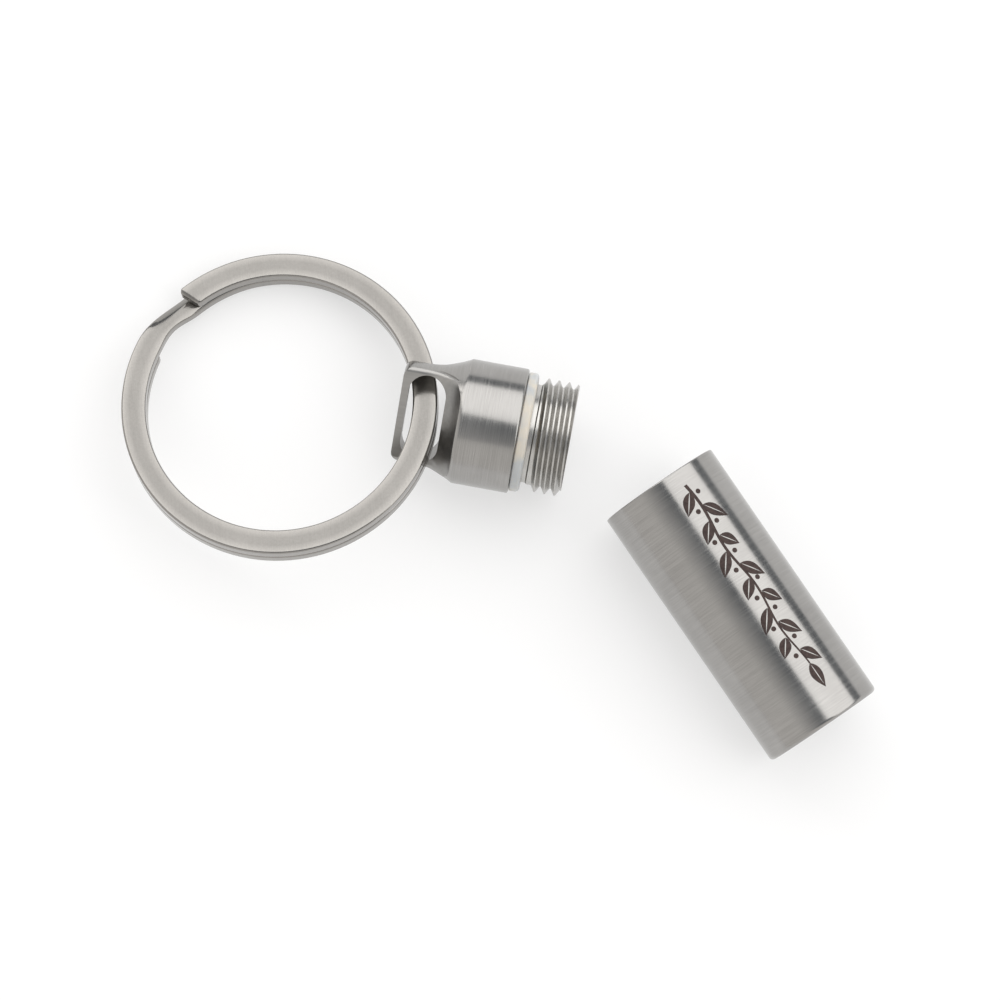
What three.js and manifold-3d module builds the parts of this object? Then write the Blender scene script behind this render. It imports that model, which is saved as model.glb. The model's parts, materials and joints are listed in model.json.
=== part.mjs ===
// Oil vial keychain: a blind-bored vial, its screw cap with a seal ring, and a split key ring.
// Millimetres and degrees, +Z up. The pieces lie on a table at z = 0 with the cap unscrewed:
// the vial lies along +X, and the origin is under the middle of the whole layout.

import * as THREE from 'three';
import { mergeVertices } from 'three/addons/utils/BufferGeometryUtils.js';
import Module from 'manifold-3d';

const wasm = await Module();
wasm.setup();

// Barrel: cap and vial share one outer diameter, so that they close flush
const barrelDiameter = 12.3;
const barrelEdgeBreak = 0.2;

// Vial
const vialLength = 28.4;
const vialBaseThickness = 1.6;
const vialBaseRounding = 0.45;
const vialRimWidth = 0.25;
const boreCornerChamfer = 0.6;

// Thread: right hand, single start, 60 degree flanks
const threadDiameter = 11.2;
const threadPitch = 1;
const threadDepth = 0.62;
const threadCrestWidth = 0.125;
const threadClearance = 0.15;
const threadRunOutTurns = 0.4;
const threadSpareTurns = 1;
const flankAngle = 30;

// Cap
const capHeadLength = 11.95;
const stubLength = 5.1;
const stubTipChamfer = 0.2;
const reliefDiameter = 9.7;
const reliefLength = 1.6;
const neckDiameter = 10.2;
const neckLength = 2.45;
const neckFlareLength = 3.9;
const tangEndRounding = 0.9;

// Tang: two milled flats leave a blade, and an obround slot goes through it
const bladeThickness = 2.2;
const bladeRoll = 28;
const flatLength = 6;
const flatRunOutRadius = 4;
const slotLength = 9.1;
const slotWidth = 3.75;
const slotEndWall = 0.7;

// Seal ring
const sealDiameter = 11.76;
const sealThickness = 1;
const sealSeatRounding = 0.15;
const sealFaceRounding = 0.4;
const sealRadialGap = 0.1;
const sealSeatGap = 0.05;

// Split ring: flat wire, two layers that cross at one joggle
const ringDiameter = 31;
const wireWidth = 2.4;
const wireThickness = 1.25;
const wireRounding = 0.3;
const layerGap = 0.1;
const joggleStart = 134;
const joggleSpan = 30;

// How the pieces lie
const capHeading = 45.3;
const vialMouthAhead = 8.47;
const vialMouthAside = 4.69;
const ringTilt = 13;
const ringYaw = 5.8;
const ringSlotOffset = 0.1;
const ringSlotDrop = 0.15;
const ringTableGap = 0.02;
const steepestLean = 45;

// Facets
const roundSegments = 28;
const threadSegments = 14;
const arcSegments = 3;
const slotEndSegments = 7;
const ringStepDegrees = 8;
const mergeTolerance = 1e-4;
const cutOverrun = 1;

const radians = THREE.MathUtils.degToRad;
const barrelRadius = barrelDiameter / 2;
const threadCrestRadius = threadDiameter / 2;
const threadRootRadius = threadCrestRadius - threadDepth;
const boreRadius = threadRootRadius + threadClearance;

// Points of a circular arc in a plane, from one angle to another, in degrees
function arcPoints(centreX, centreY, radius, fromDegrees, toDegrees, segments = arcSegments) {
  const points = [];
  for (let step = 0; step <= segments; step += 1) {
    const angle = radians(THREE.MathUtils.lerp(fromDegrees, toDegrees, step / segments));
    points.push(new THREE.Vector2(centreX + radius * Math.cos(angle), centreY + radius * Math.sin(angle)));
  }
  return points;
}

// A body of revolution about X from profile points given as (radius, place along the axis)
function turned(profile) {
  const geometry = new THREE.LatheGeometry(profile, roundSegments);
  return geometry.rotateZ(-Math.PI / 2);
}

// A closed tube through sections that each have the same number of points, in order
function swept(sections) {
  const corners = sections[0].length;
  const positions = sections.flat().flatMap((point) => [point.x, point.y, point.z]);
  const indices = [];
  for (let ring = 0; ring < sections.length - 1; ring += 1) {
    for (let corner = 0; corner < corners; corner += 1) {
      const next = (corner + 1) % corners;
      const near = ring * corners;
      const far = near + corners;
      indices.push(near + corner, near + next, far + next);
      indices.push(near + corner, far + next, far + corner);
    }
  }
  const last = (sections.length - 1) * corners;
  for (let corner = 1; corner < corners - 1; corner += 1) {
    indices.push(0, corner + 1, corner);
    indices.push(last, last + corner, last + corner + 1);
  }
  const geometry = new THREE.BufferGeometry();
  geometry.setAttribute('position', new THREE.Float32BufferAttribute(positions, 3));
  geometry.setIndex(indices);
  return geometry;
}

// A closed geometry as a solid for joining and cutting, with its faces pointing out
function toSolid(geometry) {
  const bare = geometry.clone();
  for (const name of Object.keys(bare.attributes)) {
    if (name !== 'position') bare.deleteAttribute(name);
  }
  const merged = mergeVertices(bare, mergeTolerance);
  const place = merged.attributes.position;
  const corners = [0, 1, 2].map(() => new THREE.Vector3());
  const kept = [];
  let volume = 0;
  for (let first = 0; first < merged.index.count; first += 3) {
    const triangle = [0, 1, 2].map((offset) => merged.index.getX(first + offset));
    if (new Set(triangle).size < 3) continue;
    triangle.forEach((vertex, slot) => corners[slot].fromBufferAttribute(place, vertex));
    volume += corners[0].dot(corners[1].clone().cross(corners[2]));
    kept.push(triangle);
  }
  const outward = volume > 0 ? kept : kept.map(([a, b, c]) => [a, c, b]);
  return new wasm.Manifold(new wasm.Mesh({
    numProp: 3,
    vertProperties: new Float32Array(place.array),
    triVerts: new Uint32Array(outward.flat()),
  }));
}

function toGeometry(solid) {
  const mesh = solid.getMesh();
  const geometry = new THREE.BufferGeometry();
  geometry.setAttribute('position', new THREE.BufferAttribute(new Float32Array(mesh.vertProperties), 3));
  geometry.setIndex(new THREE.BufferAttribute(new Uint32Array(mesh.triVerts), 1));
  geometry.computeVertexNormals();
  return geometry;
}

// The thread's ridge on a helix about X, widened outwards by a clearance.
// Its foot is sunk a little below the root, and both ends run out below the root.
function threadRidge(startPlace, turns, clearance) {
  const footSink = 0.1;
  const root = threadRootRadius + clearance;
  const flankSlope = Math.tan(radians(flankAngle));
  const steps = Math.round(turns * threadSegments);
  const sections = [];
  for (let step = 0; step <= steps; step += 1) {
    const turn = (turns * step) / steps;
    const toEnd = Math.min(turn, turns - turn) / threadRunOutTurns;
    const height = THREE.MathUtils.lerp(-footSink / 2, threadDepth, Math.min(1, toEnd));
    const crestHalf = threadCrestWidth / 2 + (threadDepth - height) * flankSlope;
    const footHalf = threadCrestWidth / 2 + (threadDepth + footSink) * flankSlope;
    const angle = 2 * Math.PI * turn;
    const place = startPlace + threadPitch * turn;
    const outline = [
      [root - footSink, -footHalf],
      [root + height, -crestHalf],
      [root + height, crestHalf],
      [root - footSink, footHalf],
    ];
    sections.push(outline.map(([radius, along]) => new THREE.Vector3(
      place + along,
      radius * Math.cos(angle),
      radius * Math.sin(angle),
    )));
  }
  return swept(sections);
}

// Vial: mouth centre at the origin, closed end towards +X
function vialGeometry() {
  const seatRadius = barrelRadius - vialRimWidth;
  const seatDepth = seatRadius - boreRadius;
  const boreEnd = vialLength - vialBaseThickness;
  const profile = [
    new THREE.Vector2(0, boreEnd),
    new THREE.Vector2(boreRadius - boreCornerChamfer, boreEnd),
    new THREE.Vector2(boreRadius, boreEnd - boreCornerChamfer),
    new THREE.Vector2(boreRadius, seatDepth),
    new THREE.Vector2(seatRadius, 0),
    new THREE.Vector2(barrelRadius - vialRimWidth / 2, 0),
    new THREE.Vector2(barrelRadius, vialRimWidth / 2),
    ...arcPoints(barrelRadius - vialBaseRounding, vialLength - vialBaseRounding, vialBaseRounding, 0, 90),
    new THREE.Vector2(0, vialLength),
  ];
  const leadIn = threadPitch;
  const threadTurns = (leadIn + stubLength) / threadPitch + threadSpareTurns;
  const thread = threadRidge(-leadIn, threadTurns, threadClearance);
  return toGeometry(toSolid(turned(profile)).subtract(toSolid(thread)));
}

// Cap: shoulder centre at the origin, threaded stub towards +X, tang towards -X
function capGeometry() {
  const neckRadius = neckDiameter / 2;
  const flareRise = barrelRadius - neckRadius;
  const flareRadius = (neckFlareLength ** 2 + flareRise ** 2) / (2 * flareRise);
  const flareStart = neckLength - capHeadLength;
  const flareSweep = THREE.MathUtils.radToDeg(Math.asin(neckFlareLength / flareRadius));
  const profile = [
    new THREE.Vector2(0, -capHeadLength),
    ...arcPoints(neckRadius - tangEndRounding, tangEndRounding - capHeadLength, tangEndRounding, -90, 0),
    ...arcPoints(neckRadius + flareRadius, flareStart, flareRadius, 180, 180 - flareSweep),
    new THREE.Vector2(barrelRadius, -barrelEdgeBreak),
    new THREE.Vector2(barrelRadius - barrelEdgeBreak, 0),
    new THREE.Vector2(reliefDiameter / 2, 0),
    new THREE.Vector2(reliefDiameter / 2, reliefLength - (threadRootRadius - reliefDiameter / 2)),
    new THREE.Vector2(threadRootRadius, reliefLength),
    new THREE.Vector2(threadRootRadius, stubLength),
    new THREE.Vector2(0, stubLength),
  ];
  let body = toSolid(turned(profile)).add(stubThread());
  for (const side of [0, 180]) {
    body = body.subtract(toSolid(flatCutter().rotateX(radians(bladeRoll + side))));
  }
  return toGeometry(body.subtract(toSolid(slotCutter().rotateX(radians(bladeRoll)))));
}

// The stub's thread: it rises beyond the relief and is cut off at the chamfered tip
function stubThread() {
  const ridgeHalf = threadCrestWidth / 2 + threadDepth * Math.tan(radians(flankAngle));
  const ridgeStart = reliefLength + ridgeHalf;
  const turns = (stubLength - ridgeStart) / threadPitch + threadSpareTurns;
  const reach = threadCrestRadius + cutOverrun;
  const envelope = turned([
    new THREE.Vector2(0, 0),
    new THREE.Vector2(reach, 0),
    new THREE.Vector2(reach, stubLength - stubTipChamfer - cutOverrun),
    new THREE.Vector2(threadCrestRadius - stubTipChamfer, stubLength),
    new THREE.Vector2(0, stubLength),
  ]);
  return toSolid(threadRidge(ridgeStart, turns, 0)).intersect(toSolid(envelope));
}

// The milling cut over one flat: a floor that curves up into a square wall
function flatCutter() {
  const reach = barrelRadius + cutOverrun;
  const floor = bladeThickness / 2;
  const wall = flatLength - capHeadLength;
  const shape = new THREE.Shape([
    new THREE.Vector2(-capHeadLength - cutOverrun, floor),
    ...arcPoints(wall - flatRunOutRadius, floor + flatRunOutRadius, flatRunOutRadius, -90, 0),
    new THREE.Vector2(wall, reach),
    new THREE.Vector2(-capHeadLength - cutOverrun, reach),
  ]);
  const cutter = new THREE.ExtrudeGeometry(shape, { depth: 2 * reach, bevelEnabled: false });
  return cutter.translate(0, 0, -reach).rotateX(Math.PI / 2);
}

// The slot through the blade, long across the cap's axis
function slotCutter() {
  const endRadius = slotWidth / 2;
  const endCentre = slotLength / 2 - endRadius;
  const middle = slotMiddle();
  const depth = 2 * barrelRadius;
  const shape = new THREE.Shape([
    ...arcPoints(middle, endCentre, endRadius, 0, 180, slotEndSegments),
    ...arcPoints(middle, -endCentre, endRadius, 180, 360, slotEndSegments),
  ]);
  const cutter = new THREE.ExtrudeGeometry(shape, { depth, bevelEnabled: false });
  return cutter.translate(0, 0, -depth / 2);
}

function slotMiddle() {
  return slotEndWall + slotWidth / 2 - capHeadLength;
}

// Seal ring: round edged, on the relief of the stub and against the shoulder
function sealGeometry() {
  const inner = reliefDiameter / 2 + sealRadialGap;
  const outer = sealDiameter / 2;
  const low = sealSeatGap;
  const high = sealSeatGap + sealThickness;
  const profile = [
    ...arcPoints(outer - sealSeatRounding, low + sealSeatRounding, sealSeatRounding, -90, 0),
    ...arcPoints(outer - sealFaceRounding, high - sealFaceRounding, sealFaceRounding, 0, 90),
    ...arcPoints(inner + sealFaceRounding, high - sealFaceRounding, sealFaceRounding, 90, 180),
    ...arcPoints(inner + sealSeatRounding, low + sealSeatRounding, sealSeatRounding, 180, 270),
  ];
  profile.push(profile[0].clone());
  return toGeometry(toSolid(turned(profile)));
}

// Height of the wire's middle above the ring's middle plane, by degrees gone from the first end:
// one layer on top, the joggle down, then one layer below
function layerHeight(gone) {
  const layerRise = (wireThickness + layerGap) / 2;
  const topSpan = 360 - joggleSpan;
  const down = THREE.MathUtils.smoothstep(gone, topSpan, topSpan + joggleSpan);
  return layerRise * (1 - 2 * down);
}

// Split ring: the wire's middle at the slot is the origin, the ring's own centre lies towards -X.
// The first end is on the top layer, and the wire runs clockwise seen from above.
function ringGeometry() {
  const middleRadius = (ringDiameter - wireWidth) / 2;
  const across = wireWidth / 2 - wireRounding;
  const up = wireThickness / 2 - wireRounding;
  const roundStep = 45;
  const outline = [[1, 1, 0], [-1, 1, 90], [-1, -1, 180], [1, -1, 270]].flatMap(([right, top, from]) => (
    [0, 1, 2].map((step) => new THREE.Vector2(
      right * across + wireRounding * Math.cos(radians(from + step * roundStep)),
      top * up + wireRounding * Math.sin(radians(from + step * roundStep)),
    ))
  ));
  const totalSpan = 720 - joggleSpan;
  const steps = Math.round(totalSpan / ringStepDegrees);
  const sections = [];
  for (let step = 0; step <= steps; step += 1) {
    const gone = (totalSpan * step) / steps;
    const angle = radians(joggleStart - gone);
    sections.push(outline.map((point) => new THREE.Vector3(
      (middleRadius + point.x) * Math.cos(angle) - middleRadius,
      (middleRadius + point.x) * Math.sin(angle),
      layerHeight(gone) + point.y,
    )));
  }
  return toGeometry(toSolid(swept(sections)));
}

// The lean that lets the ring down until its lowest edge is just off the table
function ringLean(slotHeight) {
  const middleRadius = (ringDiameter - wireWidth) / 2;
  const halfStack = wireThickness + layerGap / 2;
  const tilt = radians(ringTilt);
  const lowest = (lean) => {
    const flatness = Math.cos(tilt) * Math.cos(lean);
    const centreHeight = slotHeight - middleRadius * (
      Math.cos(radians(ringYaw)) * Math.sin(lean) * Math.cos(tilt)
      - Math.sin(radians(ringYaw)) * Math.sin(tilt)
    );
    return centreHeight - (ringDiameter / 2) * Math.sqrt(1 - flatness ** 2) - halfStack * flatness;
  };
  const halvings = 50;
  let low = 0;
  let high = radians(steepestLean);
  for (let round = 0; round < halvings; round += 1) {
    const middle = (low + high) / 2;
    if (lowest(middle) > ringTableGap) low = middle;
    else high = middle;
  }
  return low;
}

const brushedSteel = new THREE.MeshStandardMaterial({ color: 0xb4b2ae, roughness: 0.32, metalness: 1 });
const nickelPlate = new THREE.MeshStandardMaterial({ color: 0xc6c1b9, roughness: 0.38, metalness: 1 });
const paleSilicone = new THREE.MeshStandardMaterial({ color: 0xdcd8cf, roughness: 0.45, metalness: 0 });

function piece(name, geometry, material) {
  const mesh = new THREE.Mesh(geometry, material);
  mesh.name = name;
  return mesh;
}

// The cap lies on its barrel with its stub pointing away from the ring
const capFrame = new THREE.Group();
capFrame.position.set(0, 0, barrelRadius);
capFrame.rotation.z = radians(capHeading);
capFrame.add(piece('cap', capGeometry(), brushedSteel));
capFrame.add(piece('seal_ring', sealGeometry(), paleSilicone));

// The ring passes through the slot and lies on the table with its far side
const ringFrame = new THREE.Group();
ringFrame.position.set(slotMiddle() + ringSlotOffset, 0, -ringSlotDrop);
ringFrame.rotation.set(-radians(ringTilt), -ringLean(barrelRadius - ringSlotDrop), radians(ringYaw));
ringFrame.add(piece('split_ring', ringGeometry(), nickelPlate));
capFrame.add(ringFrame);

// The vial lies along +X, its mouth a little past the tip of the stub
const vialFrame = new THREE.Group();
vialFrame.position.set(
  stubLength * Math.cos(radians(capHeading)) + vialMouthAhead,
  stubLength * Math.sin(radians(capHeading)) + vialMouthAside,
  barrelRadius,
);
vialFrame.add(piece('vial_tube', vialGeometry(), brushedSteel));

// The origin is under the middle of everything, at the height of the table
const layout = new THREE.Group();
layout.add(capFrame, vialFrame);
layout.updateMatrixWorld(true);
const extent = new THREE.Box3().setFromObject(layout, true);
layout.position.set(-(extent.min.x + extent.max.x) / 2, -(extent.min.y + extent.max.y) / 2, -extent.min.z);

const keychain = new THREE.Group();
keychain.add(layout);

export default keychain;
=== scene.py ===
import json
import math

import bmesh
import bpy
from mathutils import Matrix, Vector


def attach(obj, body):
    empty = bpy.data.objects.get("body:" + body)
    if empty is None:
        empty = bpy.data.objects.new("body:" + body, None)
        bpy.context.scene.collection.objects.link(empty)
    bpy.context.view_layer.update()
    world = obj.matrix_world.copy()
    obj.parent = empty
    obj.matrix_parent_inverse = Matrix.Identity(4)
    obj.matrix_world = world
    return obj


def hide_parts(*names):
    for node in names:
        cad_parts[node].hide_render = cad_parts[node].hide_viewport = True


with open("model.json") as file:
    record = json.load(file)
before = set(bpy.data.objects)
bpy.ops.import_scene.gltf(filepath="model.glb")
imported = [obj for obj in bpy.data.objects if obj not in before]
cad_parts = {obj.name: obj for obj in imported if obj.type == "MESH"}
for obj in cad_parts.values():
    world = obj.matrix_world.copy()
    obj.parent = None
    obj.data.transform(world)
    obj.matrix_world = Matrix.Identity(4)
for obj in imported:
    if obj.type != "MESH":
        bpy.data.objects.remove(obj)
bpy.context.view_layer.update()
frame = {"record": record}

# Oil vial keychain. Sizes are in millimetres: each piece is modelled in its own axes, with its
# axis of turning along X, and is set in place in metres at the end.
MM = 0.001
NEAR = 0.002
MERGED_WITHIN = NEAR / 4
QUARTER_TURN = 90
FULL_TURN = 360

# Steps of round forms: a whole circle, and roundings from the smallest edge to the widest
ROUND_STEPS = 128
BREAK_STEPS = 3
CORNER_STEPS = 4
ROUNDING_STEPS = 6
TANG_ROUNDING_STEPS = 8

# Vial
BARREL_RADIUS = 6.15
VIAL_LENGTH = 28.4
VIAL_BASE = 1.6
VIAL_BASE_ROUNDING = 0.45
VIAL_RIM = 0.25
BORE_CORNER = 0.6

# Thread, right hand
THREAD_CREST = 5.6
THREAD_PITCH = 1.0
THREAD_DEPTH = 0.62
THREAD_CREST_WIDTH = 0.125
THREAD_FLANK = math.tan(math.radians(30))
THREAD_CLEARANCE = 0.15
THREAD_SINK = 0.1
THREAD_LEAD = 0.25
THREAD_STEPS = 64
GROOVE_SPARE_TURNS = 2
THREAD_ROOT = THREAD_CREST - THREAD_DEPTH
BORE_RADIUS = THREAD_ROOT + THREAD_CLEARANCE

# Cap
CAP_HEAD = 11.95
STUB_LENGTH = 5.1
STUB_TIP_CHAMFER = 0.2
RELIEF_RADIUS = 4.85
RELIEF_LENGTH = 1.6
NECK_RADIUS = 5.1
NECK_LENGTH = 2.45
FLARE_LENGTH = 3.9
FLARE_STEPS = 12
TANG_ROUNDING = 0.9
SHOULDER_BREAK = 0.2
BLADE_HALF = 1.1
BLADE_ROLL = math.radians(28)
FLAT_LENGTH = 6.0
FLAT_WALL = FLAT_LENGTH - CAP_HEAD
FLAT_RUN_OUT = 4.0
FLAT_RUN_OUT_STEPS = 24
FLAT_EDGE = 0.06
TANG_EDGE_ROUNDING = 0.6
TANG_EDGE_START = NECK_RADIUS - TANG_EDGE_ROUNDING
TANG_EDGE_STEPS = 6
SLOT_LENGTH = 9.1
SLOT_WIDTH = 3.75
SLOT_WEB = 0.7
SLOT_MIDDLE = SLOT_WEB + SLOT_WIDTH / 2 - CAP_HEAD
SLOT_EDGE = 0.16
SLOT_STEPS = 64
SLOT_NEAR = NEAR * 5
CUT_BEYOND = 1

# Seal ring
SEAL_INNER = 4.95
SEAL_OUTER = 5.88
SEAL_START = 0.05
SEAL_END = 1.05
SEAL_SEAT_ROUNDING = 0.15
SEAL_FACE_ROUNDING = 0.4

# Split ring
RING_RADIUS = 15.5
WIRE_WIDTH = 2.4
WIRE_THICKNESS = 1.25
WIRE_ROUNDING = 0.2
WIRE_ROUNDING_STEPS = 8
WIRE_TOP_CUTS = 16
WIRE_MIDDLE = RING_RADIUS - WIRE_WIDTH / 2
LAYER_RISE = 0.675
JOGGLE_START = 134
JOGGLE_SPAN = 25
JOGGLE_STEPS = 14
RING_STEP = 3
PRESS_FADE = 30
PRESS_FADE_STEPS = 15
PRESS_SHIFT = 0.1
PRESS_OUTER = -0.15
PRESS_INNER = 0.6
PRESS_ROUND = 1.0
PRESS_SLOPE = math.radians(46)
PRESS_NARROWING = 0.2
PRESS_PINCH = 0.3
PRESS_SEAT = -0.3
END_SKEW = math.tan(math.radians(16))
END_ROUNDING = 0.55
END_FACE_ROUNDING = 0.22
END_ROUNDING_STEPS = 5

# Laser-marked sprig along the vial
MARK_TURN = math.radians(16)
MARK_START = 1.7
MARK_LENGTH = 23.6
MARK_PROUD = 0.012
MARK_DEPTH = 0.04
STEM_HALF = 0.17
STEM_TAPER = 0.5
STEM_WAVE = 0.22
STEM_WAVELENGTH = 9.4
STEM_STEPS = 120
FIRST_LEAF = 0.8
LEAF_COUNT = 12
LEAF_LENGTH = 2.7
LEAF_HALF_WIDTH = 0.6
LEAF_LEAN = 37
LEAF_FULLNESS = 0.8
LEAF_STEPS = 12
LEAF_CROSS_STEPS = 3
SIDE_LEAF_SHARE = 0.9
SIDE_LEAF_VARIATION = 0.12
SIDE_LEAF_RHYTHM = 1.7
VEIN_HALF = 0.06
BERRY_RADIUS = 0.25
BERRY_AHEAD = 0.35
BERRY_OUT = 0.62
BERRY_STEPS = 24

# Kinds of face on the turned pieces
BARREL, MILLED, THREADED = 0, 1, 2
FACE_KINDS = 3

# Angles from which a corner is rounded off, and from which an edge is shaded sharp
STEEP_CORNER = math.radians(25)
SHARP_SHADING = math.radians(32)

# Finishes: sizes of grains in millimetres, tones from dark to light, roughness along with them
BARREL_GRAIN = (0.1, 4, 4)
BARREL_TONES = ((0.30, 0.293, 0.283), (0.37, 0.362, 0.35))
BARREL_RELIEF = 0.0009
VIAL_ROUGHNESS = (0.14, 0.24)
CAP_ROUGHNESS = (0.18, 0.28)
MILLED_GRAIN = (4, 0.3, 0.3)
MILLED_TONES = ((0.30, 0.294, 0.285), (0.36, 0.353, 0.342))
MILLED_ROUGHNESS = (0.3, 0.38)
MILLED_RELIEF = 0.0006
THREAD_GRAIN = (0.08, 1.2, 1.2)
THREAD_TONES = ((0.42, 0.411, 0.396), (0.56, 0.55, 0.53))
THREAD_RELIEF = 0.0012
STUB_ROUGHNESS = (0.2, 0.38)
BORE_ROUGHNESS = (0.1, 0.25)
STEEL_LINE_DETAIL = 4
STEEL_PATCH = 3.5
STEEL_PATCH_SHARE = 0.35
STEEL_TONE_SPAN = (0.34, 0.66)
STEEL_GLOSS_SPAN = (0.3, 0.7)

PLATE_MOTTLE = 3.5
PLATE_SPECK = 0.22
PLATE_SPECK_DETAIL = 2
PLATE_SPECK_SHARE = 0.5
PLATE_SCRATCH = (0.09, 3.5, 3.5)
PLATE_SCRATCH_HEADING = math.radians(62)
PLATE_SCRATCH_DETAIL = 1
PLATE_SCRATCH_SHARE = 0.25
# Painted highlight: the plating is made lighter towards the wire's edges, in place of the light on
# its rounded top
PLATE_EDGE_HIGHLIGHT_SPAN = (0.3, 0.85)
PLATE_EDGE_HIGHLIGHT_SHARE = 0.4
PLATE_SPAN = (0.2, 0.8)
PLATE_TONES = ((0.205, 0.197, 0.186), (0.325, 0.312, 0.295))
PLATE_ROUGHNESS = (0.2, 0.12)
PLATE_RELIEF = 0.002
PLATE_RELIEF_SHARE = 0.5

SILICONE_CLOUD = 2.4
SILICONE_CLOUD_SPAN = (0.38, 0.62)
SILICONE_TONES = ((0.45, 0.465, 0.47), (0.58, 0.54, 0.47))
SILICONE_ROUGHNESS = (0.25, 0.45)
SILICONE_DEPTH = 0.5
SILICONE_SPREAD = (1, 0.9, 0.75)
SILICONE_GLOW = 0.6
SILICONE_IOR = 1.42

MARK_METAL = 0.5
MARK_BURN = 0.3
MARK_TONE_SPAN = (0.35, 0.65)
MARK_TONES = ((0.028, 0.017, 0.015), (0.06, 0.04, 0.035))
MARK_GLOSS_SPAN = (0.3, 0.7)
MARK_ROUGHNESS = (0.45, 0.65)

FLOOR_CLOUD = 60
FLOOR_CLOUD_SPAN = (0.3, 0.7)
FLOOR_TONES = ((0.44, 0.44, 0.44), (0.46, 0.46, 0.46))
FLOOR_ROUGHNESS = 0.9
FLOOR_SHEEN = 0.1
FLOOR_GLOW = 0.5


# Profiles are drawn in the XZ plane, with the place along the axis in X and the radius in Z
def start_at(bm, along, radius):
    return bm.verts.new((along, 0, radius))


def line_to(bm, vert, along, radius):
    reached = bm.verts.new((along, 0, radius))
    bm.edges.new((vert, reached))
    return reached


def arc_to(bm, vert, centre, degrees, steps):
    made = bmesh.ops.spin(
        bm, geom=[vert], cent=(centre[0], 0, centre[1]), axis=(0, -1, 0), dvec=(0, 0, 0),
        angle=math.radians(degrees), steps=steps, use_merge=False, use_duplicate=False,
    )
    return next(item for item in made["geom_last"] if isinstance(item, bmesh.types.BMVert))


def clean(bm):
    """Merges doubles, then turns the faces outwards."""
    bmesh.ops.remove_doubles(bm, verts=bm.verts, dist=MERGED_WITHIN)
    bmesh.ops.recalc_face_normals(bm, faces=bm.faces)


def turn(bm):
    """Turns the drawn profile once round X."""
    bmesh.ops.spin(
        bm, geom=bm.verts[:] + bm.edges[:], cent=(0, 0, 0), axis=(1, 0, 0), dvec=(0, 0, 0),
        angle=2 * math.pi, steps=ROUND_STEPS, use_merge=True, use_duplicate=False,
    )
    clean(bm)


def rotate(bm, verts, angle, axis):
    """Turns the vertices by an angle about one of the main axes."""
    bmesh.ops.rotate(bm, verts=verts, cent=(0, 0, 0), matrix=Matrix.Rotation(angle, 3, axis))


def open_edges_of(bm):
    return [edge for edge in bm.edges if len(edge.link_faces) == 1]


def verts_of(edges):
    return list({vert for edge in edges for vert in edge.verts})


def radius_of(point):
    return math.hypot(point.y, point.z)


def circle_edges(bm, along, radius):
    """Edges of the turned circle at that place and radius."""
    def on_circle(vert):
        return abs(vert.co.x - along) < NEAR and abs(radius_of(vert.co) - radius) < NEAR
    return [edge for edge in bm.edges if all(on_circle(vert) for vert in edge.verts)]


def round_off(bm, edges, offset, segments):
    """Rounds the edges with a bevel of that many segments."""
    bmesh.ops.bevel(
        bm, geom=edges, offset=offset, offset_type="OFFSET", segments=segments, profile=0.5,
        affect="EDGES", material=-1, clamp_overlap=True,
    )


def thicken(bm, vec):
    """Extrudes the one drawn face along vec into a closed block."""
    grown = bmesh.ops.extrude_face_region(bm, geom=bm.faces[:], use_keep_orig=True)["geom"]
    moved = [item for item in grown if isinstance(item, bmesh.types.BMVert)]
    bmesh.ops.translate(bm, verts=moved, vec=vec)
    bmesh.ops.recalc_face_normals(bm, faces=bm.faces)


def mark_faces(bm, kind, where=None):
    """Makes all faces of that kind, or those whose middle lies where it is wanted."""
    for face in bm.faces:
        if where is None or where(face.calc_center_median()):
            face.material_index = kind


def combined(body, tool, operation):
    """The body joined with the tool, cut by it or kept within it. Both are used up."""
    made = []
    for bm in (body, tool):
        mesh = bpy.data.meshes.new("working")
        bm.to_mesh(mesh)
        bm.free()
        for _ in range(FACE_KINDS):
            mesh.materials.append(None)
        obj = bpy.data.objects.new("working", mesh)
        bpy.context.collection.objects.link(obj)
        made.append(obj)
    step = made[0].modifiers.new("combine", "BOOLEAN")
    step.operation = operation
    step.object = made[1]
    step.solver = "EXACT"
    step.material_mode = "INDEX"
    result = bmesh.new()
    result.from_object(made[0], bpy.context.evaluated_depsgraph_get())
    for obj in made:
        mesh = obj.data
        bpy.data.objects.remove(obj)
        bpy.data.meshes.remove(mesh)
    return result


def helix(root, begin, turns, phase):
    """A thread's ridge round X, its foot sunk below the root, closed at both ends."""
    bm = bmesh.new()
    crest_half = THREAD_CREST_WIDTH / 2
    foot_half = crest_half + (THREAD_DEPTH + THREAD_SINK) * THREAD_FLANK
    outline = [
        (root - THREAD_SINK, -foot_half),
        (root + THREAD_DEPTH, -crest_half),
        (root + THREAD_DEPTH, crest_half),
        (root - THREAD_SINK, foot_half),
    ]
    bm.faces.new([bm.verts.new((begin + along, radius, 0)) for radius, along in outline])
    rotate(bm, bm.verts, phase, "X")
    bmesh.ops.spin(
        bm, geom=bm.verts[:] + bm.edges[:], cent=(0, 0, 0), axis=(1, 0, 0),
        dvec=(THREAD_PITCH / THREAD_STEPS, 0, 0), angle=2 * math.pi * turns,
        steps=round(turns * THREAD_STEPS), use_merge=False, use_duplicate=False,
    )
    bmesh.ops.holes_fill(bm, edges=open_edges_of(bm), sides=len(outline))
    bmesh.ops.recalc_face_normals(bm, faces=bm.faces)
    mark_faces(bm, THREADED)
    return bm


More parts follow.
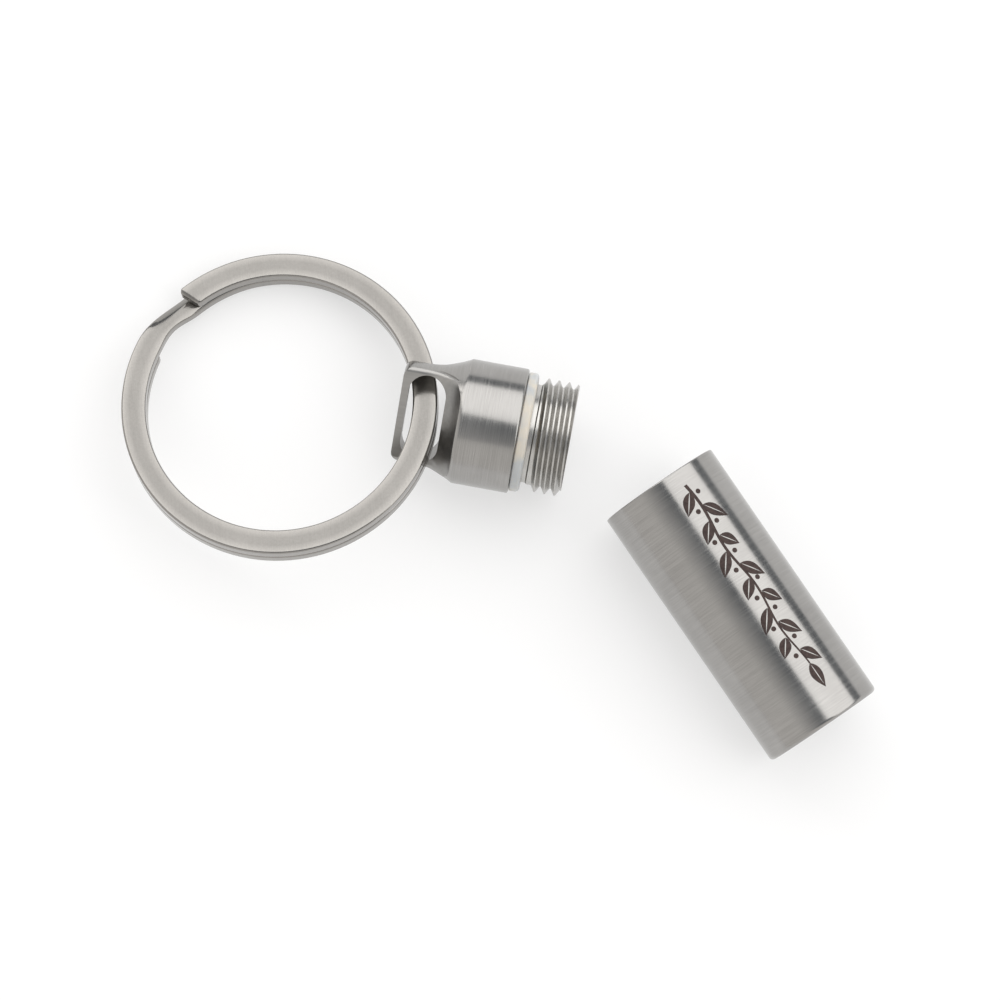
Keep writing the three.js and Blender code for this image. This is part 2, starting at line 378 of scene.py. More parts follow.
def vial_shell():
    """Blind-bored vial: mouth at the origin, closed end towards +X."""
    bm = bmesh.new()
    seat_radius = BARREL_RADIUS - VIAL_RIM
    bore_end = VIAL_LENGTH - VIAL_BASE
    vert = start_at(bm, bore_end, 0)
    vert = line_to(bm, vert, bore_end, BORE_RADIUS)
    vert = line_to(bm, vert, seat_radius - BORE_RADIUS, BORE_RADIUS)
    vert = line_to(bm, vert, 0, seat_radius)
    vert = line_to(bm, vert, 0, BARREL_RADIUS)
    vert = line_to(bm, vert, VIAL_LENGTH, BARREL_RADIUS)
    line_to(bm, vert, VIAL_LENGTH, 0)
    turn(bm)
    round_off(bm, circle_edges(bm, VIAL_LENGTH, BARREL_RADIUS), VIAL_BASE_ROUNDING, ROUNDING_STEPS)
    round_off(bm, circle_edges(bm, 0, BARREL_RADIUS), VIAL_RIM / 2, BREAK_STEPS)
    round_off(bm, circle_edges(bm, bore_end, BORE_RADIUS), BORE_CORNER, CORNER_STEPS)
    mark_faces(bm, THREADED, lambda at: radius_of(at) < seat_radius and at.x < bore_end + NEAR)
    groove_turns = STUB_LENGTH / THREAD_PITCH + GROOVE_SPARE_TURNS
    bm = combined(bm, helix(BORE_RADIUS, -THREAD_PITCH, groove_turns, 0), "DIFFERENCE")
    clean(bm)
    return bm


def stub_thread():
    """The stub's ridge, rising beyond the relief and cut off at the chamfered tip."""
    ridge_half = THREAD_CREST_WIDTH / 2 + THREAD_DEPTH * THREAD_FLANK
    begin = RELIEF_LENGTH + ridge_half - THREAD_LEAD
    turns = (STUB_LENGTH - begin) / THREAD_PITCH + 1
    ridge = helix(THREAD_ROOT, begin, turns, -math.pi / 2 - BLADE_ROLL)
    envelope = bmesh.new()
    vert = start_at(envelope, RELIEF_LENGTH, 0)
    vert = line_to(envelope, vert, RELIEF_LENGTH, THREAD_ROOT - THREAD_SINK / 2)
    vert = line_to(envelope, vert, RELIEF_LENGTH + ridge_half, THREAD_CREST + THREAD_SINK)
    rim = STUB_LENGTH - STUB_TIP_CHAMFER - THREAD_SINK
    vert = line_to(envelope, vert, rim, THREAD_CREST + THREAD_SINK)
    vert = line_to(envelope, vert, STUB_LENGTH, THREAD_CREST - STUB_TIP_CHAMFER)
    line_to(envelope, vert, STUB_LENGTH, 0)
    turn(envelope)
    mark_faces(envelope, THREADED)
    return combined(ridge, envelope, "INTERSECT")


def flat_cutter():
    """The milling cut above the blade: a floor that curves up into a square wall.

    It bends down along both sides, which leaves the tang with rounded edges.
    """
    bm = bmesh.new()
    reach = BARREL_RADIUS + CUT_BEYOND
    tip = -CAP_HEAD - CUT_BEYOND
    first = start_at(bm, tip, BLADE_HALF)
    vert = line_to(bm, first, FLAT_WALL - FLAT_RUN_OUT, BLADE_HALF)
    run_out_centre = (FLAT_WALL - FLAT_RUN_OUT, BLADE_HALF + FLAT_RUN_OUT)
    vert = arc_to(bm, vert, run_out_centre, QUARTER_TURN, FLAT_RUN_OUT_STEPS)
    vert = line_to(bm, vert, FLAT_WALL, reach)
    vert = line_to(bm, vert, tip, reach)
    bm.edges.new((vert, first))
    bmesh.ops.translate(bm, verts=bm.verts, vec=(0, -reach, 0))
    bmesh.ops.contextual_create(bm, geom=bm.edges[:])
    thicken(bm, (0, 2 * reach, 0))
    for step in range(TANG_EDGE_STEPS + 1):
        past = TANG_EDGE_ROUNDING * math.sin(math.pi / 2 * step / TANG_EDGE_STEPS)
        for side in (1, -1):
            bmesh.ops.bisect_plane(
                bm, geom=bm.verts[:] + bm.edges[:] + bm.faces[:],
                plane_co=(0, side * (TANG_EDGE_START + past), 0), plane_no=(0, 1, 0))
    for vert in bm.verts:
        past = min(max(abs(vert.co.y) - TANG_EDGE_START, 0), TANG_EDGE_ROUNDING)
        vert.co.z -= TANG_EDGE_ROUNDING - math.sqrt(TANG_EDGE_ROUNDING ** 2 - past ** 2)
    mark_faces(bm, MILLED)
    return bm


def slot_cutter():
    """The obround slot, long across the cap's axis: a circle with its halves drawn apart."""
    bm = bmesh.new()
    half_step = Matrix.Rotation(math.pi / SLOT_STEPS, 4, "Z")
    bmesh.ops.create_circle(
        bm, cap_ends=True, segments=SLOT_STEPS, radius=SLOT_WIDTH / 2, matrix=half_step)
    pull = (SLOT_LENGTH - SLOT_WIDTH) / 2
    for side in (1, -1):
        half = [vert for vert in bm.verts if vert.co.y * side > 0]
        bmesh.ops.translate(bm, verts=half, vec=(0, side * pull, 0))
    bmesh.ops.translate(bm, verts=bm.verts, vec=(SLOT_MIDDLE, 0, -BARREL_RADIUS))
    thicken(bm, (0, 0, 2 * BARREL_RADIUS))
    mark_faces(bm, MILLED)
    return bm


def slot_distance(point):
    """How far a point lies from the wall of the slot, seen along the slot."""
    pull = (SLOT_LENGTH - SLOT_WIDTH) / 2
    across = max(abs(point.y) - pull, 0)
    return abs(math.hypot(point.x - SLOT_MIDDLE, across) - SLOT_WIDTH / 2)


def corner_edges(bm, wanted):
    """Edges that turn a real corner and whose two faces and ends are as wanted."""
    return [
        edge for edge in bm.edges
        if len(edge.link_faces) == 2 and edge.calc_face_angle() > STEEP_CORNER and wanted(edge)
    ]


def slot_rim(edge):
    """Whether the edge runs along the rim of the slot."""
    return all(
        slot_distance(vert.co) < SLOT_NEAR and abs(vert.co.z) > BLADE_HALF / 2
        for vert in edge.verts
    )


def flat_border(edge):
    """Whether the edge parts a milled flat from the turned outside."""
    return {face.material_index for face in edge.link_faces} == {BARREL, MILLED}


def cap_body():
    """Screw cap: shoulder at the origin, threaded stub towards +X, slotted tang towards -X."""
    bm = bmesh.new()
    flare_rise = BARREL_RADIUS - NECK_RADIUS
    flare_radius = (FLARE_LENGTH ** 2 + flare_rise ** 2) / (2 * flare_rise)
    flare_start = NECK_LENGTH - CAP_HEAD
    flare_sweep = math.degrees(math.asin(FLARE_LENGTH / flare_radius))
    vert = start_at(bm, -CAP_HEAD, 0)
    vert = line_to(bm, vert, -CAP_HEAD, NECK_RADIUS)
    vert = line_to(bm, vert, flare_start, NECK_RADIUS)
    flare_centre = (flare_start, NECK_RADIUS + flare_radius)
    vert = arc_to(bm, vert, flare_centre, flare_sweep, FLARE_STEPS)
    vert = line_to(bm, vert, 0, BARREL_RADIUS)
    vert = line_to(bm, vert, 0, RELIEF_RADIUS)
    vert = line_to(bm, vert, RELIEF_LENGTH - (THREAD_ROOT - RELIEF_RADIUS), RELIEF_RADIUS)
    vert = line_to(bm, vert, RELIEF_LENGTH, THREAD_ROOT)
    vert = line_to(bm, vert, STUB_LENGTH, THREAD_ROOT)
    line_to(bm, vert, STUB_LENGTH, 0)
    turn(bm)
    round_off(bm, circle_edges(bm, -CAP_HEAD, NECK_RADIUS), TANG_ROUNDING, TANG_ROUNDING_STEPS)
    round_off(bm, circle_edges(bm, 0, BARREL_RADIUS), SHOULDER_BREAK, BREAK_STEPS)
    shoulder_edge = BARREL_RADIUS - SHOULDER_BREAK
    mark_faces(bm, THREADED, lambda at: at.x > -NEAR and radius_of(at) < shoulder_edge)
    bm = combined(bm, stub_thread(), "UNION")
    mark_faces(bm, BARREL, lambda at: at.x > STUB_LENGTH - NEAR)
    for side in (0, math.pi):
        cutter = flat_cutter()
        rotate(cutter, cutter.verts, side, "X")
        bm = combined(bm, cutter, "DIFFERENCE")
    bm = combined(bm, slot_cutter(), "DIFFERENCE")
    clean(bm)
    round_off(bm, corner_edges(bm, slot_rim), SLOT_EDGE, CORNER_STEPS)
    round_off(bm, corner_edges(bm, flat_border), FLAT_EDGE, BREAK_STEPS)
    rotate(bm, bm.verts, BLADE_ROLL, "X")
    return bm


def seal_body():
    """Seal ring: a flat band with rounded edges, rounder on the side of the thread."""
    bm = bmesh.new()
    first = start_at(bm, SEAL_START, SEAL_INNER)
    vert = line_to(bm, first, SEAL_START, SEAL_OUTER)
    vert = line_to(bm, vert, SEAL_END, SEAL_OUTER)
    vert = line_to(bm, vert, SEAL_END, SEAL_INNER)
    bm.edges.new((vert, first))
    turn(bm)
    round_off(bm, circle_edges(bm, SEAL_END, SEAL_OUTER), SEAL_FACE_ROUNDING, ROUNDING_STEPS)
    round_off(bm, circle_edges(bm, SEAL_END, SEAL_INNER), SEAL_FACE_ROUNDING, CORNER_STEPS)
    round_off(bm, circle_edges(bm, SEAL_START, SEAL_OUTER), SEAL_SEAT_ROUNDING, BREAK_STEPS)
    round_off(bm, circle_edges(bm, SEAL_START, SEAL_INNER), SEAL_SEAT_ROUNDING, BREAK_STEPS)
    return bm


def wire_section(bm, across, above):
    """The wire's rounded section, finely divided above. Each vertex keeps its place in it."""
    bmesh.ops.create_grid(bm, x_segments=1, y_segments=1, size=0.5)
    bmesh.ops.scale(bm, verts=bm.verts, vec=(WIRE_WIDTH, WIRE_THICKNESS, 1))
    bmesh.ops.bevel(
        bm, geom=bm.verts[:], offset=WIRE_ROUNDING, offset_type="OFFSET",
        segments=WIRE_ROUNDING_STEPS, profile=0.5, affect="VERTICES", material=-1,
    )
    upper = WIRE_THICKNESS / 2 - NEAR
    top = [edge for edge in bm.edges if all(vert.co.y > upper for vert in edge.verts)]
    bmesh.ops.subdivide_edges(bm, edges=top, cuts=WIRE_TOP_CUTS)
    for vert in bm.verts:
        vert[across] = vert.co.x
        vert[above] = vert.co.y
    rotate(bm, bm.verts, math.pi / 2, "X")
    bmesh.ops.translate(bm, verts=bm.verts, vec=(WIRE_MIDDLE, 0, LAYER_RISE))
    rotate(bm, bm.verts, math.radians(JOGGLE_START), "Z")


def carry_wire(bm, degrees, steps):
    """Carries the wire's open end clockwise round Z."""
    edges = open_edges_of(bm)
    bmesh.ops.spin(
        bm, geom=verts_of(edges) + edges, cent=(0, 0, 0), axis=(0, 0, 1),
        dvec=(0, 0, 0), angle=-math.radians(degrees), steps=steps,
        use_merge=False, use_duplicate=False,
    )


def shoulder_fall(past):
    """How far the pressed shoulder lies below the wire's upper side: an arc, then a slope."""
    arc_end = PRESS_ROUND * math.sin(PRESS_SLOPE)
    if past < arc_end:
        return PRESS_ROUND - math.sqrt(PRESS_ROUND ** 2 - past ** 2)
    return PRESS_ROUND * (1 - math.cos(PRESS_SLOPE)) + (past - arc_end) * math.tan(PRESS_SLOPE)


def press_wire(bm, across, above, middle, press, pinch):
    """Shapes the open end: both upper shoulders pressed down, the inner side pinched outwards."""
    half = WIRE_WIDTH / 2
    for vert in verts_of(open_edges_of(bm)):
        outer_past = max(vert[across] - PRESS_OUTER, 0)
        inner_past = max(-vert[across] - PRESS_INNER, 0)
        drawn_in = PRESS_NARROWING * outer_past / (half - PRESS_OUTER)
        drawn_out = PRESS_PINCH * inner_past / (half - PRESS_INNER)
        above_seat = max(vert[above] - PRESS_SEAT, 0) / (WIRE_THICKNESS / 2 - PRESS_SEAT)
        fall = shoulder_fall(outer_past - drawn_in) + shoulder_fall(inner_past)
        outward = Vector((vert.co.x, vert.co.y, 0)).normalized()
        inwards = (PRESS_SHIFT + drawn_in) * press - drawn_out * pinch
        place = outward * (WIRE_MIDDLE + vert[across] - inwards)
        place.z = middle + vert[above] - above_seat * fall * press
        vert.co = place


def eased(share):
    """A share that starts and ends gently."""
    return share * share * (3 - 2 * share)


def round_end(bm, face):
    """Rounds a cut end of the wire: strongly across the wire, a little up and down."""
    done = 0
    out = 0
    for step in range(1, END_ROUNDING_STEPS + 1):
        angle = math.pi / 2 * step / END_ROUNDING_STEPS
        inset = (1 - math.cos(angle)) - done
        depth = END_ROUNDING * (math.sin(angle) - out)
        done += inset
        out = math.sin(angle)
        bmesh.ops.inset_region(
            bm, faces=[face], thickness=END_FACE_ROUNDING * inset, depth=depth,
            use_even_offset=True)
        narrowing = (END_ROUNDING - END_FACE_ROUNDING) * inset
        for vert in face.verts:
            radius = math.hypot(vert.co.x, vert.co.y)
            side = (radius - WIRE_MIDDLE) / (WIRE_WIDTH / 2)
            drawn = (radius - side * narrowing) / radius
            vert.co = (vert.co.x * drawn, vert.co.y * drawn, vert.co.z)


def ring_wire():
    """Split ring: two turns of flat wire that cross at one joggle, centred on the origin."""
    bm = bmesh.new()
    across = bm.verts.layers.float.new("across")
    above = bm.verts.layers.float.new("above")
    wire_section(bm, across, above)
    first_end = bm.faces[:]
    layer = FULL_TURN - JOGGLE_SPAN
    carry_wire(bm, layer, round(layer / RING_STEP))
    for step in range(1, JOGGLE_STEPS + 1):
        share = step / JOGGLE_STEPS
        sunk = eased(share)
        pinch = eased(1 - abs(2 * share - 1))
        carry_wire(bm, JOGGLE_SPAN / JOGGLE_STEPS, 1)
        press_wire(bm, across, above, LAYER_RISE * (1 - 2 * sunk), sunk, pinch)
    for step in range(1, PRESS_FADE_STEPS + 1):
        left = 1 - eased(step / PRESS_FADE_STEPS)
        carry_wire(bm, PRESS_FADE / PRESS_FADE_STEPS, 1)
        press_wire(bm, across, above, -LAYER_RISE, left, 0)
    rest = layer - PRESS_FADE
    carry_wire(bm, rest, round(rest / RING_STEP))
    last_end = bmesh.ops.contextual_create(bm, geom=open_edges_of(bm))["faces"]
    bmesh.ops.recalc_face_normals(bm, faces=bm.faces)
    for ends, turned, skew in ((first_end, -1, END_SKEW), (last_end, 1, 0)):
        for vert in ends[0].verts:
            lead = turned * END_ROUNDING + vert[across] * skew
            vert.co.rotate(Matrix.Rotation(lead / WIRE_MIDDLE, 3, "Z"))
        round_end(bm, ends[0])
    # Nearness to the wire's edges, which the plating's painted highlight follows
    nearness = bm.verts.layers.float.new("edge_nearness")
    for vert in bm.verts:
        vert[nearness] = abs(vert[across]) / (WIRE_WIDTH / 2)
    return bm


def stem_height(along):
    """How far the stem waves aside at that place along it."""
    return STEM_WAVE * math.sin(2 * math.pi * along / STEM_WAVELENGTH)


def leaf_half(bm, foot, lean, length, half_width, side):
    """One half of a leaf beside its bare vein, its foot on the stem."""
    made = bmesh.ops.create_grid(
        bm, x_segments=LEAF_STEPS, y_segments=LEAF_CROSS_STEPS, size=0.5)["verts"]
    for vert in made:
        along = vert.co.x + 0.5
        swell = math.sin(math.pi * along ** LEAF_FULLNESS)
        out = (VEIN_HALF + (vert.co.y + 0.5) * (half_width - VEIN_HALF)) * swell
        vert.co = (along * length, side * out, 0)
    rotate(bm, made, math.radians(lean), "Z")
    bmesh.ops.translate(bm, verts=made, vec=foot)


def leaf(bm, foot, lean, length, half_width):
    """A whole leaf: two halves with the vein left bare between them."""
    for side in (1, -1):
        leaf_half(bm, foot, lean, length, half_width, side)


def sprig():
    """A leafy sprig along the vial, drawn flat and then wrapped round the barrel."""
    bm = bmesh.new()
    stem_length = MARK_LENGTH - LEAF_LENGTH
    stem = bmesh.ops.create_grid(bm, x_segments=STEM_STEPS, y_segments=1, size=0.5)["verts"]
    for vert in stem:
        along = vert.co.x + 0.5
        half = STEM_HALF * (1 - STEM_TAPER * along)
        reached = along * stem_length
        vert.co = (reached, stem_height(reached) + 2 * vert.co.y * half, 0)
    spacing = (stem_length - FIRST_LEAF) / LEAF_COUNT
    for number in range(LEAF_COUNT):
        side = 1 if number % 2 else -1
        along = FIRST_LEAF + spacing * number
        foot = Vector((along, stem_height(along) + side * STEM_HALF, 0))
        varied = SIDE_LEAF_SHARE + SIDE_LEAF_VARIATION * math.sin(SIDE_LEAF_RHYTHM * number)
        leaf(bm, foot, side * LEAF_LEAN, LEAF_LENGTH * varied, LEAF_HALF_WIDTH)
        ahead = along + BERRY_AHEAD
        berry_at = Vector((ahead, stem_height(ahead) - side * BERRY_OUT, 0))
        bmesh.ops.create_circle(
            bm, cap_ends=True, segments=BERRY_STEPS, radius=BERRY_RADIUS,
            matrix=Matrix.Translation(berry_at))
    leaf(bm, Vector((stem_length, stem_height(stem_length), 0)), 0, LEAF_LENGTH, LEAF_HALF_WIDTH)
    bmesh.ops.remove_doubles(bm, verts=bm.verts, dist=NEAR)
    bmesh.ops.recalc_face_normals(bm, faces=bm.faces)
    bmesh.ops.solidify(bm, geom=bm.faces[:], thickness=MARK_DEPTH)
    lowest = min(vert.co.z for vert in bm.verts)
    for vert in bm.verts:
        radius = BARREL_RADIUS + MARK_PROUD - MARK_DEPTH + (vert.co.z - lowest)
        turned = MARK_TURN + vert.co.y / BARREL_RADIUS
        vert.co = (MARK_START + vert.co.x, radius * math.sin(turned), radius * math.cos(turned))
    bmesh.ops.recalc_face_normals(bm, faces=bm.faces)
    return bm


# Materials
def ramped(tree, value, low, high, first, last):
    """A ramp from one colour to another as the value goes from low to high."""
    ramp = tree.nodes.new("ShaderNodeValToRGB")
    ramp.color_ramp.elements[0].position = low
    ramp.color_ramp.elements[0].color = (*first, 1)
    ramp.color_ramp.elements[1].position = high
    ramp.color_ramp.elements[1].color = (*last, 1)
    tree.links.new(value, ramp.inputs["Fac"])
    return ramp.outputs["Color"]


def fade(tree, value, first, last, low, high):
    """A level that goes from low to high as the value goes from first to last."""
    level = tree.nodes.new("ShaderNodeMapRange")
    level.inputs["From Min"].default_value = first
    level.inputs["From Max"].default_value = last
    level.inputs["To Min"].default_value = low
    level.inputs["To Max"].default_value = high
    tree.links.new(value, level.inputs["Value"])
    return level.outputs["Result"]


def noise(tree, place, size, heading=0, detail=3):
    """Noise whose grains have the given sizes in millimetres, turned about Z by heading."""
    mapping = tree.nodes.new("ShaderNodeMapping")
    mapping.vector_type = "TEXTURE"
    mapping.inputs["Rotation"].default_value = (0, 0, heading)
    mapping.inputs["Scale"].default_value = [MM * length for length in size]
    texture = tree.nodes.new("ShaderNodeTexNoise")
    texture.inputs["Scale"].default_value = 1
    texture.inputs["Detail"].default_value = detail
    tree.links.new(place, mapping.inputs["Vector"])
    tree.links.new(mapping.outputs["Vector"], texture.inputs["Vector"])
    return texture.outputs["Fac"]


def even(length):
    """A grain of the same size every way."""
    return (length, length, length)


def mixed(tree, first, second, share):
    """A level that is that share of the second and the rest of the first."""
    blend = tree.nodes.new("ShaderNodeMix")
    blend.inputs["Factor"].default_value = share
    tree.links.new(first, blend.inputs["A"])
    tree.links.new(second, blend.inputs["B"])
    return blend.outputs["Result"]


def raised(tree, shader, height, relief):
    """Gives the shader a relief of that height in millimetres."""
    bump = tree.nodes.new("ShaderNodeBump")
    bump.inputs["Strength"].default_value = 1
    bump.inputs["Distance"].default_value = relief * MM
    tree.links.new(height, bump.inputs["Height"])
    tree.links.new(bump.outputs["Normal"], shader.inputs["Normal"])


def new_finish(name, metallic):
    """A new material, its node tree, its shader and the place on the piece."""
    material = bpy.data.materials.new(name)
    material.use_nodes = True
    tree = material.node_tree
    shader = tree.nodes["Principled BSDF"]
    shader.inputs["Metallic"].default_value = metallic
    place = tree.nodes.new("ShaderNodeTexCoord").outputs["Object"]
    return material, tree, shader, place


def brushed_steel(name, heading, grain, tones, roughness, relief):
    """Steel with fine lines across the axis at heading: tone and gloss vary line by line."""
    material, tree, shader, place = new_finish(name, 1)
    lines = noise(tree, place, grain, heading, STEEL_LINE_DETAIL)
    patches = noise(tree, place, even(STEEL_PATCH))
    level = mixed(tree, lines, patches, STEEL_PATCH_SHARE)
    tree.links.new(ramped(tree, level, *STEEL_TONE_SPAN, *tones), shader.inputs["Base Color"])
    tree.links.new(fade(tree, level, *STEEL_GLOSS_SPAN, *roughness), shader.inputs["Roughness"])
    raised(tree, shader, lines, relief)
    return material


def satin_plate(name):
    """Satin plating with mottling, specks and hairline scratches, and a painted highlight that
    makes it lighter towards the wire's edges.
    """
    material, tree, shader, place = new_finish(name, 1)
    nearness = tree.nodes.new("ShaderNodeAttribute")
    nearness.attribute_name = "edge_nearness"
    # Painted highlight: the plating turns lighter towards the wire's edges
    edge_highlight = fade(tree, nearness.outputs["Fac"], *PLATE_EDGE_HIGHLIGHT_SPAN, 0, 1)
    mottle = noise(tree, place, even(PLATE_MOTTLE))
    specks = noise(tree, place, even(PLATE_SPECK), detail=PLATE_SPECK_DETAIL)
    scratches = noise(tree, place, PLATE_SCRATCH, PLATE_SCRATCH_HEADING, PLATE_SCRATCH_DETAIL)
    speckled = mixed(tree, mottle, specks, PLATE_SPECK_SHARE)
    grain = mixed(tree, speckled, scratches, PLATE_SCRATCH_SHARE)
    level = mixed(tree, grain, edge_highlight, PLATE_EDGE_HIGHLIGHT_SHARE)
    tree.links.new(ramped(tree, level, *PLATE_SPAN, *PLATE_TONES), shader.inputs["Base Color"])
    tree.links.new(fade(tree, level, *PLATE_SPAN, *PLATE_ROUGHNESS), shader.inputs["Roughness"])
    raised(tree, shader, mixed(tree, specks, scratches, PLATE_RELIEF_SHARE), PLATE_RELIEF)
    return material


def pale_silicone(name):
    """Translucent pale silicone with faint clouding."""
    material, tree, shader, place = new_finish(name, 0)
    shader.inputs["Subsurface Weight"].default_value = SILICONE_GLOW
    shader.inputs["Subsurface Radius"].default_value = SILICONE_SPREAD
    shader.inputs["Subsurface Scale"].default_value = SILICONE_DEPTH * MM
    shader.inputs["IOR"].default_value = SILICONE_IOR
    clouds = noise(tree, place, even(SILICONE_CLOUD))
    tone = ramped(tree, clouds, *SILICONE_CLOUD_SPAN, *SILICONE_TONES)
    tree.links.new(tone, shader.inputs["Base Color"])
    tree.links.new(fade(tree, clouds, 0, 1, *SILICONE_ROUGHNESS), shader.inputs["Roughness"])
    return material


def laser_brown(name):
    """Dark brown annealed marking, a little uneven."""
    material, tree, shader, place = new_finish(name, MARK_METAL)
    burn = noise(tree, place, even(MARK_BURN))
    tree.links.new(ramped(tree, burn, *MARK_TONE_SPAN, *MARK_TONES), shader.inputs["Base Color"])
    roughness = fade(tree, burn, *MARK_GLOSS_SPAN, *MARK_ROUGHNESS)
    tree.links.new(roughness, shader.inputs["Roughness"])
    return material


def pale_floor(name):
    """A plain pale table that glows a little, so that it stays pale under soft light."""
    material, tree, shader, place = new_finish(name, 0)
    shader.inputs["Roughness"].default_value = FLOOR_ROUGHNESS
    shader.inputs["Specular IOR Level"].default_value = FLOOR_SHEEN
    shader.inputs["Emission Color"].default_value = (1, 1, 1, 1)
    shader.inputs["Emission Strength"].default_value = FLOOR_GLOW
    cloud = noise(tree, place, even(FLOOR_CLOUD))
    tone = ramped(tree, cloud, *FLOOR_CLOUD_SPAN, *FLOOR_TONES)
    tree.links.new(tone, shader.inputs["Base Color"])
    return material


# Placing
def in_axes(origin, forward, up):
    """Millimetres in a piece's own axes to metres in the frame."""
    turned = Matrix((forward, up.cross(forward), up)).transposed().to_4x4()
    return Matrix.Translation(origin) @ turned @ Matrix.Scale(MM, 4)


def dressed(name, bm, place, materials, body, slot, *nodes):
    """A finished piece at its place, riding on its body, for the nodes that it stands for."""
    bmesh.ops.transform(bm, matrix=place, verts=bm.verts)
    mesh = bpy.data.meshes.new(name)
    bm.to_mesh(mesh)
    bm.free()
    mesh.shade_smooth()
    mesh.set_sharp_from_angle(angle=SHARP_SHADING)
    for material in materials:
        mesh.materials.append(material)
    piece = bpy.data.objects.new(name, mesh)
    bpy.context.collection.objects.link(piece)
    shading = piece.modifiers.new("even shading", "WEIGHTED_NORMAL")
    shading.keep_sharp = True
    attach(piece, body)
    if nodes:
        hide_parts(*nodes)


mounts = {mount["name"]: mount for mount in frame["record"]["mounts"]}
joints = {joint["name"]: joint for joint in frame["record"]["behaviour"]["joints"]}
UP = Vector((0, 0, 1))
vial_forward = Vector(mounts["vial_base"]["axis"])
vial_heading = math.atan2(vial_forward.y, vial_forward.x)
vial_mouth = Vector(mounts["vial_base"]["pos_m"]) - vial_forward * VIAL_LENGTH * MM
cap_forward = Vector(joints["cap_turn"]["axis"]).normalized()
cap_heading = math.atan2(cap_forward.y, cap_forward.x)
ring_forward = -Vector(mounts["key_loop"]["axis"]).normalized()
ring_up = ring_forward.cross(Vector(joints["ring_swing"]["axis"])).normalized()
ring_centre = Vector(mounts["key_loop"]["pos_m"]) + ring_forward * WIRE_MIDDLE * MM

vial_place = in_axes(vial_mouth, vial_forward, UP)
cap_place = in_axes(Vector(joints["cap_turn"]["pos_m"]), cap_forward, UP)
ring_place = in_axes(ring_centre, ring_forward, ring_up)

vial_steel = brushed_steel(
    "brushed_vial", vial_heading, BARREL_GRAIN, BARREL_TONES, VIAL_ROUGHNESS, BARREL_RELIEF)
cap_steel = brushed_steel(
    "brushed_cap", cap_heading, BARREL_GRAIN, BARREL_TONES, CAP_ROUGHNESS, BARREL_RELIEF)
milled_steel = brushed_steel(
    "milled_flats", cap_heading, MILLED_GRAIN, MILLED_TONES, MILLED_ROUGHNESS, MILLED_RELIEF)
stub_steel = brushed_steel(
    "cut_thread", cap_heading, THREAD_GRAIN, THREAD_TONES, STUB_ROUGHNESS, THREAD_RELIEF)
bore_steel = brushed_steel(
    "cut_bore", vial_heading, THREAD_GRAIN, THREAD_TONES, BORE_ROUGHNESS, THREAD_RELIEF)

dressed("vial_shell", vial_shell(), vial_place, [vial_steel, vial_steel, bore_steel],
        "vial", "brushed_vial", "vial_tube")
dressed("vial_sprig", sprig(), vial_place, [laser_brown("laser_brown")], "vial", "brushed_vial")
dressed("cap_body", cap_body(), cap_place, [cap_steel, milled_steel, stub_steel],
        "cap", "brushed_cap", "cap")
dressed("seal_body", seal_body(), cap_place, [pale_silicone("pale_silicone")],
        "seal", "seal", "seal_ring")
dressed("ring_wire", ring_wire(), ring_place, [satin_plate("satin_plate")],
        "ring", "ring_wire", "split_ring")

# Floor, in metres
FLOOR_HALF = 3
FLOOR_DROP = 0.02 * MM
floor_bm = bmesh.new()
bmesh.ops.create_grid(floor_bm, x_segments=1, y_segments=1, size=FLOOR_HALF)
bmesh.ops.translate(floor_bm, verts=floor_bm.verts, vec=(0, 0, -FLOOR_DROP))
floor_mesh = bpy.data.meshes.new("floor")
floor_bm.to_mesh(floor_mesh)
floor_bm.free()
floor_mesh.materials.append(pale_floor("pale_floor"))
floor = bpy.data.objects.new("floor", floor_mesh)
bpy.context.collection.objects.link(floor)

# Camera: nearly straight down, through a long lens, aimed at a place off the vial's mouth
CAMERA_AZIMUTH = math.radians(55.7)
CAMERA_ELEVATION = math.radians(86)
AIM_FROM_MOUTH = Vector((-7.5335, -13.6179, -0.15))
CAMERA_LENS = 180
CAMERA_SENSOR = 36
VIEW_WIDTH = 97.6
camera_data = bpy.data.cameras.new("camera")
camera_data.lens = CAMERA_LENS
camera_data.sensor_width = CAMERA_SENSOR
camera = bpy.data.objects.new("camera", camera_data)
bpy.context.collection.objects.link(camera)
towards = Vector((
    math.sin(CAMERA_AZIMUTH) * math.cos(CAMERA_ELEVATION),
    -math.cos(CAMERA_AZIMUTH) * math.cos(CAMERA_ELEVATION),
    math.sin(CAMERA_ELEVATION),
))
target = vial_mouth + AIM_FROM_MOUTH * MM
camera.location = target + towards * (VIEW_WIDTH * MM * CAMERA_LENS / CAMERA_SENSOR)
camera.rotation_euler = (-towards).to_track_quat("-Z", "Y").to_euler()
bpy.context.scene.camera = camera

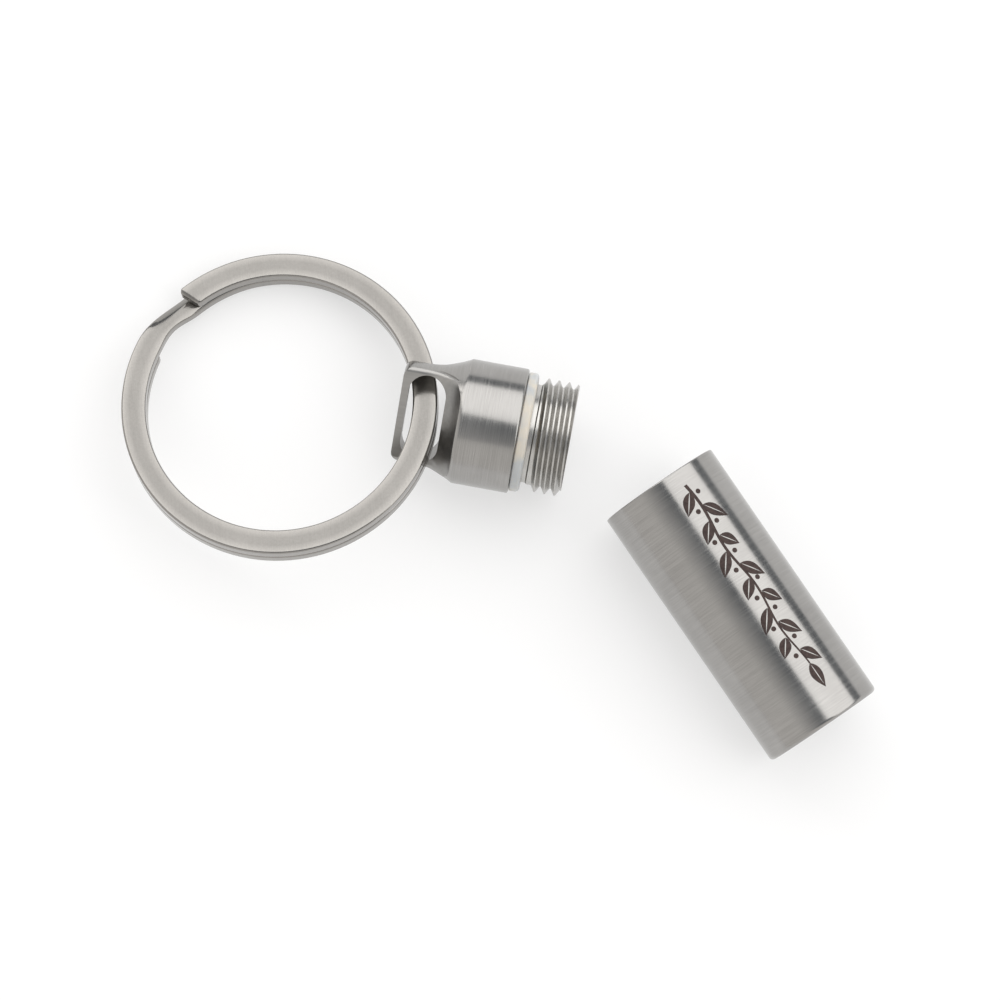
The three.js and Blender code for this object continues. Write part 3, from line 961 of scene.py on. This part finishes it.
# Light, in metres: one big leaning softbox, and a dim room that pales towards the other side
SOFTBOX_SIDE = Vector((-0.35, 0.94, 0)).normalized()
SOFTBOX_REACH = 1.0
SOFTBOX_TOP = math.radians(7)
SOFTBOX_FOOT = math.radians(70)
SOFTBOX_WIDTH = 5
SOFTBOX_RADIANCE = 1.82
SOFTBOX_COLOUR = (1, 0.985, 0.965)
ROOM_DARK = (0.26, 0.275, 0.295)
ROOM_FILL = (0.96, 0.94, 0.915)
WALL_SIDE = Vector((-0.3, -0.95, 0))
WALL_REACH = 0.68
SCREEN_EDGE = Vector((0.71, -0.70, -0.66))
SCREEN_BLUR = 0.1
PALING_START = 0.02

top_edge = (SOFTBOX_SIDE * math.sin(SOFTBOX_TOP) + UP * math.cos(SOFTBOX_TOP)) * SOFTBOX_REACH
foot_edge = (SOFTBOX_SIDE * math.sin(SOFTBOX_FOOT) + UP * math.cos(SOFTBOX_FOOT)) * SOFTBOX_REACH
softbox_data = bpy.data.lights.new("softbox", "AREA")
softbox_data.shape = "RECTANGLE"
softbox_data.color = SOFTBOX_COLOUR
softbox_data.size = SOFTBOX_WIDTH
softbox_data.size_y = (top_edge - foot_edge).length
softbox_data.energy = SOFTBOX_RADIANCE * math.pi * softbox_data.size * softbox_data.size_y
softbox = bpy.data.objects.new("softbox", softbox_data)
bpy.context.collection.objects.link(softbox)
softbox.location = (top_edge + foot_edge) / 2
softbox.rotation_euler = (-softbox.location).to_track_quat("-Z", "Y").to_euler()

world = bpy.data.worlds.new("room")
bpy.context.scene.world = world
world.use_nodes = True
room = world.node_tree
backdrop = room.nodes["Background"]
sky_place = room.nodes.new("ShaderNodeTexCoord").outputs["Generated"]


def seen_towards(direction, reach):
    """A level that goes from 0 to 1 as the look turns towards the direction."""
    side = room.nodes.new("ShaderNodeVectorMath")
    side.operation = "DOT_PRODUCT"
    side.inputs[1].default_value = direction
    room.links.new(sky_place, side.inputs[0])
    return fade(room, side.outputs["Value"], PALING_START, reach, 0, 1)


lighter = room.nodes.new("ShaderNodeMath")
lighter.operation = "MAXIMUM"
room.links.new(seen_towards(WALL_SIDE, WALL_REACH), lighter.inputs[0])
room.links.new(seen_towards(SCREEN_EDGE, SCREEN_BLUR), lighter.inputs[1])
room_tone = ramped(room, lighter.outputs["Value"], 0, 1, ROOM_DARK, ROOM_FILL)
room.links.new(room_tone, backdrop.inputs["Color"])
bpy.context.scene.view_settings.view_transform = "Standard"
